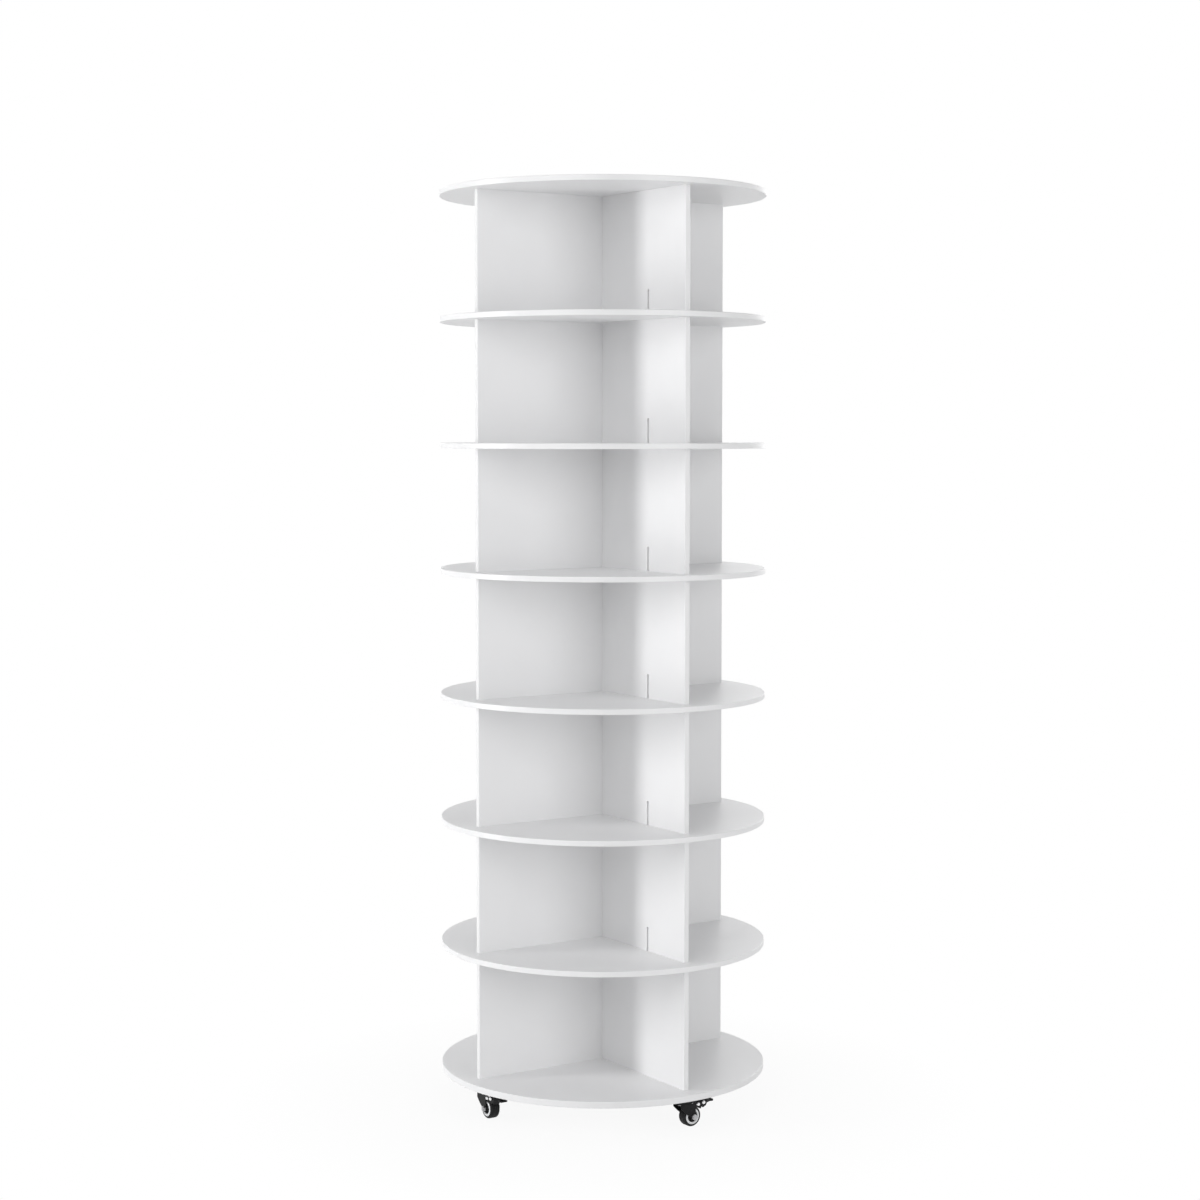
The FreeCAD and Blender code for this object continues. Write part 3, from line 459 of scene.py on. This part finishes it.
WIRE = 0.00035
WIRE_SIDES = 8
COIL_RADIUS = 0.0026
COIL_START = 90
COIL_TURNS = 3.5
STEPS_PER_TURN = 28
# A coil's end nearer the wheel and its length, along the lever's pin
COIL_INNER = 0.0068
COIL_LENGTH = 0.0024
LEG_PAST_PIN = 0.001
LEG_SHARES = (0.1, 0.5, 1.0)


def tube(into, path):
    """A round wire along a path, closed at both ends."""
    rings = []
    for index, point in enumerate(path):
        before, after = path[max(index - 1, 0)], path[min(index + 1, len(path) - 1)]
        along = (after - before).normalized()
        turn = along.to_track_quat("Z", "Y").to_matrix()
        rings.append([into.verts.new(point + turn @ Vector((WIRE * math.cos(a), WIRE * math.sin(a), 0)))
                      for a in (2 * math.pi * side / WIRE_SIDES for side in range(WIRE_SIDES))])
    for here, there in zip(rings, rings[1:]):
        bridge(into, here, there)
    into.faces.new(rings[0])
    into.faces.new(rings[-1])


def spring_path(side):
    """Three and a half coils round the lever's pin and a leg under the spring's pin."""
    y, z = LEVER_PIN
    steps = int(STEPS_PER_TURN * COIL_TURNS)
    points = []
    for step in range(steps + 1):
        share = step / steps
        turn = math.radians(COIL_START) + 2 * math.pi * COIL_TURNS * share
        x = side * (COIL_INNER + COIL_LENGTH * share)
        points.append(Vector((x, y + COIL_RADIUS * math.cos(turn), z + COIL_RADIUS * math.sin(turn))))
    last = points[-1]
    reach = Vector((last.x, SPRING_PIN[0] - LEG_PAST_PIN, SPRING_PIN[1] - PIN_RADIUS - WIRE))
    return points + [last.lerp(reach, share) for share in LEG_SHARES]


def make_springs(number):
    """The two springs of a caster, one on each side of its lever."""
    shape = bmesh.new()
    for side in (-1, 1):
        tube(shape, spring_path(side))
    finished("brake_spring_%d" % number, shape, bright, "fork_%d" % number,
             caster_matrix(number))


for caster in CASTERS:
    make_tyre(caster)
    make_hub(caster)
    make_springs(caster)


# ---------------------------------------------------------------- floor and background

FLOOR_HALF = 60.0
# Distances from the axis between which the floor turns to plain white, and its share of plain white nearer in
FADE_START, FADE_END = 0.30, 0.70
WHITE_NEAR = 0.92
WHITE = rgb(1.0, 1.0, 1.0)


def make_floor():
    """A plain pale floor that keeps the shadow near the tower and ends in plain white."""
    bpy.ops.mesh.primitive_plane_add(size=2 * FLOOR_HALF, location=(0, 0, 0))
    floor = bpy.context.object
    floor.name = "floor"
    made = Material("pale_floor", roughness=0.8)
    speck = made.noise(scale=30.0, detail=4.0)
    made.colour(made.mix(speck, rgb(0.90, 0.90, 0.90), rgb(0.92, 0.92, 0.92)))
    white = made.node("ShaderNodeEmission")
    white.inputs["Color"].default_value = WHITE
    away = made.ramp(made.from_axis(), FADE_START, FADE_END, to_low=WHITE_NEAR, to_high=1.0)
    blend = made.node("ShaderNodeMixShader")
    made.link(made.math("MULTIPLY", background_rays(made.tree), away), blend.inputs["Fac"])
    made.link(made.shader.outputs["BSDF"], blend.inputs[1])
    made.link(white.outputs["Emission"], blend.inputs[2])
    made.link(blend.outputs["Shader"], made.tree.nodes["Material Output"].inputs["Surface"])
    floor.data.materials.append(made.material)


def make_world():
    """White to the camera and in reflections; plain soft light for everything else."""
    world = bpy.data.worlds.new("studio")
    world.use_nodes = True
    bpy.context.scene.world = world
    tree = world.node_tree
    back = tree.nodes["Background"]
    back.inputs["Color"].default_value = WHITE
    back.inputs["Strength"].default_value = 1.0
    light = tree.nodes.new("ShaderNodeBackground")
    light.inputs["Color"].default_value = AMBIENT_COLOUR
    light.inputs["Strength"].default_value = AMBIENT
    blend = tree.nodes.new("ShaderNodeMixShader")
    tree.links.new(background_rays(tree), blend.inputs["Fac"])
    tree.links.new(light.outputs["Background"], blend.inputs[1])
    tree.links.new(back.outputs["Background"], blend.inputs[2])
    tree.links.new(blend.outputs["Shader"], tree.nodes["World Output"].inputs["Surface"])


# ---------------------------------------------------------------- camera and lamps

# How far the view is turned about the tower's axis, in radians, from looking along +Y
ARM_TURN = 0.5829
# Camera: distance from the axis, height, downward pitch, aim beside the axis, lens and upward shift
CAMERA_DISTANCE = 4.3862
CAMERA_HEIGHT = 1.2374
CAMERA_PITCH = 0.0576
CAMERA_YAW = 0.0012
CAMERA_LENS = 71.148
CAMERA_SHIFT = -0.025
CAMERA_SENSOR = 36.0
CAMERA_CLIP_END = 200.0

AMBIENT = 0.37
AMBIENT_COLOUR = rgb(0.985, 0.99, 1.0)
# Soft boxes: turn is counted in degrees from the camera's left towards the camera, rise upward from level
LAMPS = {
    "key": dict(turn=10.0, rise=3.0, distance=4.0, width=0.55, height=2.2, power=68.0),
    "front": dict(turn=65.0, rise=24.0, distance=4.5, width=2.6, height=2.6, power=36.0),
    "fill": dict(turn=132.0, rise=8.0, distance=4.5, width=2.6, height=2.6, power=48.0),
    "back": dict(turn=245.0, rise=15.0, distance=4.5, width=3.2, height=2.6, power=36.0),
    "top": dict(turn=90.0, rise=85.0, distance=4.0, width=2.6, height=2.6, power=14.0),
}
# Half the tower's height, which every lamp points at
MIDDLE = 0.84


def in_view(across, away):
    """A direction given across and away from the camera, in the tower's frame."""
    return Matrix.Rotation(-ARM_TURN, 3, "Z") @ Vector((across, away, 0))


def make_camera():
    camera = bpy.data.objects.new("camera", bpy.data.cameras.new("camera"))
    bpy.context.scene.collection.objects.link(camera)
    camera.data.sensor_width = CAMERA_SENSOR
    camera.data.lens = CAMERA_LENS
    camera.data.shift_y = CAMERA_SHIFT
    camera.data.clip_end = CAMERA_CLIP_END
    camera.location = in_view(0, -CAMERA_DISTANCE) + Vector((0, 0, CAMERA_HEIGHT))
    camera.rotation_euler = Euler((math.pi / 2 - CAMERA_PITCH, 0, CAMERA_YAW - ARM_TURN))
    bpy.context.scene.camera = camera


def make_lamp(name, turn, rise, distance, width, height, power):
    """A soft box that points at the middle of the tower."""
    around, up = math.radians(turn), math.radians(rise)
    flat = in_view(-math.cos(around), -math.sin(around))
    at = flat * (distance * math.cos(up)) + Vector((0, 0, MIDDLE + distance * math.sin(up)))
    lamp = bpy.data.objects.new(name, bpy.data.lights.new(name, "AREA"))
    bpy.context.scene.collection.objects.link(lamp)
    lamp.data.shape = "RECTANGLE"
    lamp.data.size = width
    lamp.data.size_y = height
    lamp.data.energy = power
    lamp.location = at
    lamp.rotation_euler = (Vector((0, 0, MIDDLE)) - at).to_track_quat("-Z", "Y").to_euler()


make_floor()
make_world()
make_camera()
for lamp_name, settings in LAMPS.items():
    make_lamp(lamp_name, **settings)
bpy.context.scene.view_settings.view_transform = "Standard"
